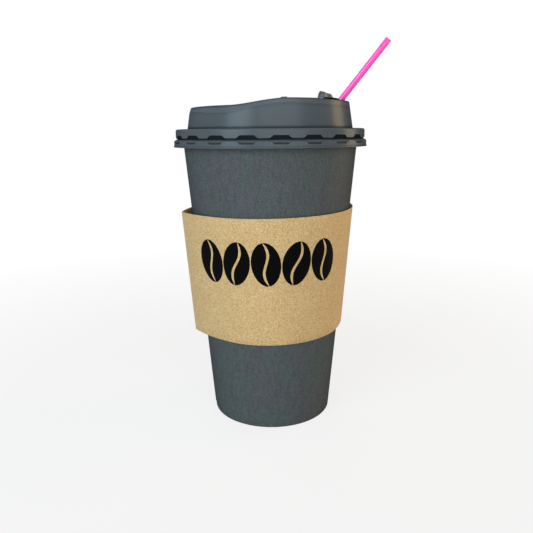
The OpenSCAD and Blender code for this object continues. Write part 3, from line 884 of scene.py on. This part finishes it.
def padPart(direction, length, height):
    # stacking pad that stands on the rim and follows it
    angles = np.radians(np.linspace(direction - length, direction + length, 25))
    ends = np.sin(np.linspace(0, 1, 25) * math.pi) ** 0.15
    middle = rimRadius - lid["rimWidth"] / 2
    top = rimHeightAt(rimRadius * np.cos(angles)) + height * ends
    root = rimHeightAt(rimRadius * np.cos(angles)) - lid["rimRound"]
    wide, narrow = lid["padHalf"]
    path = [(middle + wide, root), (middle + wide, top - 0.15), (middle + narrow, top)]
    path += [(middle - narrow, top), (middle - wide, top - 0.15), (middle - wide, root)]
    return solidLoft(np.array(turnedPath(path, angles)).transpose(1, 0, 2))


def shadePiece(piece, shade):
    # painted shade and highlight: how light the plastic looks at each point, less than 1 where painted
    # shade darkens hollows and more than 1 where painted highlights lighten edges
    points = np.empty(len(piece.data.vertices) * 3)
    piece.data.vertices.foreach_get("co", points)
    values = shade(points.reshape(-1, 3) / mm) if callable(shade) else np.full(len(points) // 3, shade)
    piece.data.attributes.new("shade", "FLOAT", "POINT").data.foreach_set("value", values)


def padShade(outside):
    # painted shade: a pad's outer face gets its own painted shade, near-black on the first pad where it
    # stands for the dark shaded gap between tab and straw, and its top and inner face get 0.9
    face = rimRadius - lid["rimWidth"] / 2 + 0.3
    return lambda points: np.where(np.hypot(points[:, 0], points[:, 1]) > face, outside, 0.9)


def within(value, low, high, fade):
    return smoothStep(value, low - fade, low) * (1 - smoothStep(value, high, high + fade))


# painted shade and highlights: a value per point that darkens hollows and creases and lightens edges that
# catch light
def lidShade(points):
    radius, height = np.hypot(points[:, 0], points[:, 1]), points[:, 2]
    x = points[:, 0] * rimRadius / np.maximum(radius, 1)
    aboveCrease, belowRim = height - creaseHeightAt(x), rimHeightAt(x) - height
    rise, deep = height - grooveHeight, skirtRadius(height, 0) - radius
    outside = radius > domeRadius(height) - lid["sheet"] * 0.6
    dome = outside & (height > shoulder + 0.05) & (radius < lid["plugRadius"] - 0.6)
    rim = (radius > rimRadius - 0.35) & (belowRim < 1.2)
    skirt = (radius > lid["lugIn"] + 0.2) & (height < shoulder - 0.2)
    # painted shade on the dome's foot, the crease line, the seat, the channel, the lug dents, the groove,
    # the hollows below the ledge and a line above the trimmed edge; a painted dark reflection under the
    # rim's top; painted highlights on the bevel above the crease, the band's shoulder, the ledge and the
    # trimmed edge
    shade = np.ones(len(points))
    foot = shoulder + lid["footHeight"]
    shade -= lid["footShade"] * dome * (1 - smoothStep(height, foot - 0.25, foot + 0.4))
    shade -= lid["creaseShadeLine"] * dome * within(aboveCrease, -0.45, -0.1, 0.25)
    shade += lid["bevelHighlight"] * dome * within(aboveCrease, 0.35, 2.0, 0.3)
    shade -= lid["rimReflectionLine"] * rim * within(belowRim, 0.3, 0.5, 0.12)
    seat = (height > shoulder - 0.6) & (height < shoulder + 0.1) & ~dome
    shade -= lid["seatShade"] * seat * (1 - smoothStep(radius, lid["plugRadius"], bandRadius - 0.9))
    channel = ~seat & ~skirt & (radius > domeFoot - 0.1) & (height < shoulder + 0.6)
    shade -= lid["channelShade"] * channel
    shade += lid["shoulderHighlight"] * seat * smoothStep(radius, bandRadius - 1.0, bandRadius - 0.5)
    shade -= lid["dentShade"] * skirt * (deep > 0.07) * within(rise, -0.2, 3, 0.1)
    shade -= lid["grooveShade"] * skirt * (deep <= 0.07) * within(rise, -0.3, 0.2, 0.12)
    shade -= lid["hollowShade"] * skirt * (deep > 0.05) * within(rise, -2.2, -1.35, 0.1)
    shade += lid["ledgeHighlight"] * skirt * within(rise, -1.0, -0.6, 0.15)
    shade -= lid["trimShadeLine"] * skirt * within(height - lid["trimEdge"], 0.5, 0.72, 0.1)
    shade += lid["trimHighlight"] * skirt * (height - lid["trimEdge"] < 0.48)
    return np.clip(shade, 0.08, 1.6)


def lidPlastic(name, base, roughness, gloss, coatRoughness):
    sheet = Sheet(bpy.data.materials.new(name))
    cloud = sheet.noise(60, 3, 0.5)
    peel = sheet.noise(520, 2, 0.5)
    dust = sheet.specks(260, 0.07)
    colour = sheet.mix(sheet.range(cloud, 0.35, 0.65, 0, 0.35), base, lighter(base, 0.86))
    colour = sheet.mix(dust * 0.2, colour, lighter(base, 2))
    # painted shade and highlights: the per-point shade value multiplies the colour and dims the coat in
    # hollows
    shade = sheet.node("Attribute", {"attribute_name": "shade"}, None, "Fac")
    rough = sheet.range(cloud * 0.5 + peel * 0.5, 0.35, 0.65, *roughness)
    normal = sheet.bump(peel, 0.18, 0.05)
    coat = {"Specular IOR Level": 0.0, "Coat Roughness": coatRoughness}
    coat["Coat Weight"] = sheet.sheen(gloss) * sheet.range(shade, 0.3, 0.95)
    return sheet.finish(sheet.shaded(colour, shade), rough, normal, coat)


# Tab: plate with its hollow plug, standing open on the hinge
tab = {
    "thick": 0.6,
    "corner": 3.4,
    "lap": 0.3,
    "plugDepth": (2.6, 4.1, 3.1),
    "plugGap": 0.3,
    "plugWall": 0.48,
    "plugRound": 0.8,
    "hingeBack": 0.85,
    "open": 84,
    "round": 0.16,
    "steps": 120,
    "beadShort": 0.8,
    "colour": paintColour(84, 88, 90),
    # painted reflection: the plug is the same dark plastic as the plate, made lighter to stand for the
    # light it reflects
    "plugReflectionColour": paintColour(124, 124, 112),
    "roughness": (0.24, 0.34),
    "gloss": 0.7,
    "coatRoughness": (0.2, 0.16),
    "hingeWeb": 0.24,
    # painted shade on the hinge web under the open tab
    "webShade": 0.8,
}
hingePlace = sipPlace - lid["sipLength"] / 2 - tab["hingeBack"]
hingeHeight = padHeight + 0.1 + tab["thick"] / 2


def makeLid(material):
    angles = lugAngles(shoulder, 0)
    rings = lidInnerRings(angles) + lidOuterRings(angles) + lidTopRings(angles)
    low, high = (0, 0, deckHeightAt(0) - lid["sheet"]), (0, 0, deckHeightAt(0))
    shell = loft(rings, startTip=low, endTip=high)
    piece = buildPiece("lidShell", [shell], [material])
    sipOutline = stadium(lid["sipLength"], lid["sipWidth"], 96) + np.array([sipPlace, 0])
    ventOutline = stadium(lid["ventWidth"], lid["ventWidth"], 32) + np.array([lid["ventPlace"], 0])
    cutWith(piece, buildPiece("sipCutter", [prism(sipOutline, padHeight - 2, padHeight + 2)], []))
    cutWith(piece, buildPiece("ventCutter", [prism(ventOutline, rearDeck - 2, rearDeck + 2)], []))
    piece.data.materials.clear()
    piece.data.materials.append(material)
    piece.data.set_sharp_from_angle(angle=math.radians(lid["sharpAngle"]))
    shadePiece(piece, lidShade)
    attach(piece, "lid")
    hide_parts("lid")
    extras = [("tabCatch", catchPart(), 1)]
    for number, pad in enumerate(lid["stackPads"]):
        extras.append((f"stackPad{number + 1}", padPart(*pad), padShade(lid["padShades"][number])))
    for name, part, shade in extras:
        extra = buildPiece(name, [part], [material])
        shadePiece(extra, shade)
        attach(extra, "lid")


def plateOutline(inset):
    # the plate's outline seen from above, as many points as the plug's outline
    length = sipPlace + lid["sipLength"] / 2 + tab["lap"] - hingePlace - inset
    half = lid["sipWidth"] / 2 + tab["lap"] - inset
    corner = tab["corner"] - inset
    start = -0.2 + inset
    far = arcPoints((length - corner, half - corner), corner, 0, 90, 14)
    near = arcPoints((start + 0.5, half - 0.5), 0.5, 90, 180, 5)
    top = [(length, y) for y in np.linspace(0, half - corner, 5)][:-1] + far
    top += [(x, half) for x in np.linspace(length - corner, start + 0.5, 12)][1:-1] + near
    top += [(start, y) for y in np.linspace(half - 0.5, 0, 8)][1:]
    points = np.array(top + [(x, -y) for x, y in top[-2:0:-1]])
    return resampled(points)


def resampled(points):
    closed = np.vstack([points, points[:1]])
    along = np.concatenate([[0], np.cumsum(np.linalg.norm(np.diff(closed, axis=0), axis=1))])
    spots = np.linspace(0, along[-1], tab["steps"], endpoint=False)
    return np.stack([np.interp(spots, along, closed[:, i]) for i in (0, 1)], -1)


def plugOutline(inset):
    shrink = 2 * (tab["plugGap"] + inset)
    outline = stadium(lid["sipLength"] - shrink, lid["sipWidth"] - shrink, 240)
    return resampled(outline) + np.array([sipPlace - hingePlace, 0])


def plugBottom(outline, inset):
    reach = lid["sipLength"] / 2 - tab["plugGap"]
    share = (outline[:, 0] - (sipPlace - hingePlace) + reach) / (2 * reach)
    depths = [np.interp(share + shift, (0, 0.5, 1), tab["plugDepth"]) for shift in (-0.12, 0, 0, 0.12)]
    return -tab["thick"] / 2 - sum(depths) / len(depths) + inset


def makeTab(plateMaterial, plugMaterial):
    half, bend, wall = tab["thick"] / 2, tab["round"], tab["plugWall"]
    rings = []
    cavity, mouth, root = plugOutline(wall), plugOutline(wall - 0.1), plugOutline(-0.12)
    for share in (0.15, 0.4, 0.7, 0.9):  # floor of the cavity
        outline = mixed(cavity.mean(0), cavity, share)
        rings.append(level(outline, plugBottom(outline, wall)))
    low = plugBottom(cavity, wall + 0.12)
    rings += [level(cavity, mixed(low, half - 0.1, share)) for share in (0, 0.5, 1)]
    rings += [level(mixed(mouth, plateOutline(bend), share), half) for share in (0, 0.35, 0.7)]
    for turn in np.radians(np.linspace(90, -90, 9)):  # rounded edge of the plate
        middle = (half - bend) * (1 if turn > 0 else -1)
        rings.append(level(plateOutline(bend * (1 - math.cos(turn))), middle + bend * math.sin(turn)))
    rings += [level(mixed(plateOutline(bend), root, 0.6), -half), level(root, -half)]
    outer, soft = plugOutline(0), tab["plugRound"]
    plugStart = len(rings)
    bottom = plugBottom(outer, soft)
    rings.append(level(outer, np.minimum(-half - 0.12, bottom + 0.1)))
    rings += [level(outer, mixed(-half - 0.12, bottom, share)) for share in (0.5, 1)]
    for turn in np.radians((20, 40, 60, 80, 90)):  # rounded bottom edge of the plug
        outline = plugOutline(soft * (1 - math.cos(turn)))
        rings.append(level(outline, plugBottom(outline, soft * (1 - math.sin(turn)))))
    for share in (0.8, 0.5, 0.2):
        outline = mixed(plugOutline(soft).mean(0), plugOutline(soft), share)
        rings.append(level(outline, plugBottom(outline, 0)))
    rings = tipped(np.array(rings), tab["open"], (hingePlace, 0, hingeHeight))
    paint = np.zeros(len(rings) - 1, int)
    paint[plugStart:] = 1
    piece = buildPiece("tabPlug", [solidLoft(rings, paint)], [plateMaterial, plugMaterial], 45)
    shadePiece(piece, 1)
    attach(piece, "tab")
    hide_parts("lid_tab")


def makeHinge(material):
    # thin web between the lid's pad and the tab
    half, web = lid["sipWidth"] / 2 - tab["beadShort"], tab["hingeWeb"]
    levels = [(padHeight - 0.2, 0.5), (padHeight + 0.02, 0.3), (padHeight + 0.1, web)]
    levels += [(hingeHeight - 0.1, web), (hingeHeight, 0.2)]
    rings = []
    for height, thick in levels:
        x = np.array([-1, 1, 1, -1]) * thick / 2 + hingePlace
        rings.append(level(np.stack([x, np.array([-1, -1, 1, 1]) * half], -1), height))
    piece = buildPiece("hingeWeb", [solidLoft(rings)], [material])
    # painted shade: the hinge web is darkened as a whole
    shadePiece(piece, tab["webShade"])
    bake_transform(piece)


lidMaterial = lidPlastic("lidPlastic", lid["colour"], lid["roughness"], lid["gloss"], lid["coatRoughness"])
makeLid(lidMaterial)
tabPlate = lidPlastic("tabPlastic", tab["colour"], tab["roughness"], tab["gloss"], tab["coatRoughness"][0])
# painted reflection on the plug, as a lighter copy of the tab's plastic
plug = lidPlastic("plugReflectionPlastic", tab["plugReflectionColour"], tab["roughness"], tab["gloss"], tab["coatRoughness"][1])
makeTab(tabPlate, plug)
makeHinge(lidMaterial)
print("lid made")


# Straw: thin tube through the sip hole, cut square at both ends
straw = {
    "width": 3.0,
    "wall": 0.22,
    "length": 140,
    "out": 39.6,
    "lean": 39.66,
    "side": 3.0,
    "place": 31.284,
    "columns": 64,
    "edge": 0.05,
    "colour": paintColour(250, 70, 178),
    "deep": paintColour(226, 48, 150),
    "roughness": 0.34,
    "streaks": 0.1,
    "coat": 0.6,
    "coatRoughness": 0.22,
}


def strawPlastic():
    sheet = Sheet(bpy.data.materials.new("strawPlastic"))
    along = (0, math.radians(-straw["lean"]), 0)
    streak = sheet.noise(260, 1, 0.4, 0.0, (1, 1, 0.04), along)
    colour = sheet.mix(sheet.range(streak, 0.35, 0.7, 0, straw["streaks"]), straw["colour"], straw["deep"])
    rough = sheet.range(streak, 0.3, 0.7, straw["roughness"], straw["roughness"] + 0.1)
    normal = sheet.bump(streak, 0.04, 0.02)
    gloss = {"IOR": 1.49, "Specular IOR Level": 0.35}
    gloss.update({"Coat Weight": straw["coat"], "Coat Roughness": straw["coatRoughness"]})
    return sheet.finish(colour, rough, normal, gloss)


def makeStraw(material):
    outer, wall, edge = straw["width"] / 2, straw["wall"], straw["edge"]
    inner = outer - wall
    low, high = straw["out"] - straw["length"], straw["out"]
    path = [(outer - edge, low), (outer, low + edge)]
    path += [(outer, mixed(low, high, share)) for share in np.linspace(0.05, 0.95, 12)]
    path += [(outer, high - edge), (outer - edge, high), (inner + edge, high), (inner, high - edge)]
    path += [(inner, mixed(low, high, share)) for share in np.linspace(0.95, 0.05, 12)]
    path += [(inner, low + edge), (inner + edge, low)]
    rings = np.array(turnedPath(path, fullTurn(straw["columns"])))
    rings = tipped(rings, -straw["lean"], (straw["place"], straw["side"], padHeight))
    piece = buildPiece("strawTube", [loft(rings, closeEnds=True)], [material], 50)
    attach(piece, "lid")
    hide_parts("straw")


makeStraw(strawPlastic())
print("straw made")


# Studio: white floor and world, soft lamps
studio = {
    "floorSize": 3.0,
    "floorColour": paintColour(225, 225, 223),
    "floorWhite": 0.8,
    "fadeFrom": 0.12,
    "fadeTo": 0.42,
    "worldColour": (0.97, 0.99, 1.0, 1),
    "worldStrength": 0.13,
    "aimHeight": 0.09,
    "lamps": (
        ("keyLamp", -42, 16, 0.9, (0.5, 0.5), 5.2, (0.72, 0.87, 1.0)),
        ("fillLamp", 14, 16, 0.9, (0.9, 0.6), 4.0, (1.0, 1.0, 1.0)),
        ("warmLamp", 108, 12, 0.8, (0.3, 0.4), 2.4, (1.0, 0.7, 0.4)),
        ("backLamp", 195, 22, 1.0, (0.9, 0.6), 2.6, (1.0, 1.0, 1.0)),
        ("topLamp", 0, 70, 0.9, (0.6, 0.6), 0.8, (1.0, 0.99, 0.97)),
    ),
}


def seenDirectly(sheet):  # 1 for rays from the camera and for those in gloss or glass
    seen = sheet.node("LightPath", output="Is Camera Ray")
    for kind in ("Is Glossy Ray", "Is Transmission Ray"):
        seen = seen.sum("MAXIMUM", seen, sheet.node("LightPath", output=kind))
    return seen


def makeFloor():
    size = studio["floorSize"]
    mesh = bpy.data.meshes.new("floor")
    corners = [(-size, -size, 0), (size, -size, 0), (size, size, 0), (-size, size, 0)]
    mesh.from_pydata(corners, [], [(0, 1, 2, 3)])
    floor = bpy.data.objects.new("floor", mesh)
    scene.collection.objects.link(floor)
    sheet = Sheet(bpy.data.materials.new("floorWhite"))
    spot = sheet.node("TexCoord", output="Object")
    away = sheet.node("VectorMath", {"operation": "LENGTH"}, {0: spot}, "Value")
    fade = sheet.range(away, studio["fadeFrom"], studio["fadeTo"], studio["floorWhite"], 1.0)
    seen = seenDirectly(sheet)
    matt = sheet.node("BsdfDiffuse", None, {"Color": studio["floorColour"]})
    white = sheet.node("Emission", None, {"Color": (1, 1, 1, 1), "Strength": 1.0})
    blended = sheet.node("MixShader", None, {0: seen * fade, 1: matt, 2: white})
    sheet.node("OutputMaterial", None, {0: blended})
    mesh.materials.append(sheet.owner)


def makeWorld():
    scene.world = bpy.data.worlds.new("studioWorld")
    sheet = Sheet(scene.world)
    glow = sheet.node("Background", None, {0: studio["worldColour"], 1: studio["worldStrength"]})
    white = sheet.node("Background", None, {0: (1, 1, 1, 1), 1: 1.0})
    blended = sheet.node("MixShader", None, {0: seenDirectly(sheet), 1: glow, 2: white})
    sheet.node("OutputWorld", None, {0: blended})


def makeLamps():
    aim = Vector((0, 0, studio["aimHeight"]))
    for name, side, up, distance, size, power, colour in studio["lamps"]:
        turn, rise = math.radians(view["turn"] + side), math.radians(up)
        away = Vector((math.sin(turn) * math.cos(rise), -math.cos(turn) * math.cos(rise), math.sin(rise)))
        data = bpy.data.lights.new(name, "AREA")
        data.shape = "RECTANGLE"
        data.size, data.size_y = size
        data.energy = power
        data.color = colour
        lamp = bpy.data.objects.new(name, data)
        lamp.location = aim + away * distance
        lamp.rotation_euler = (-away).to_track_quat("-Z", "Y").to_euler()
        scene.collection.objects.link(lamp)


makeFloor()
makeWorld()
makeLamps()
print("studio made")
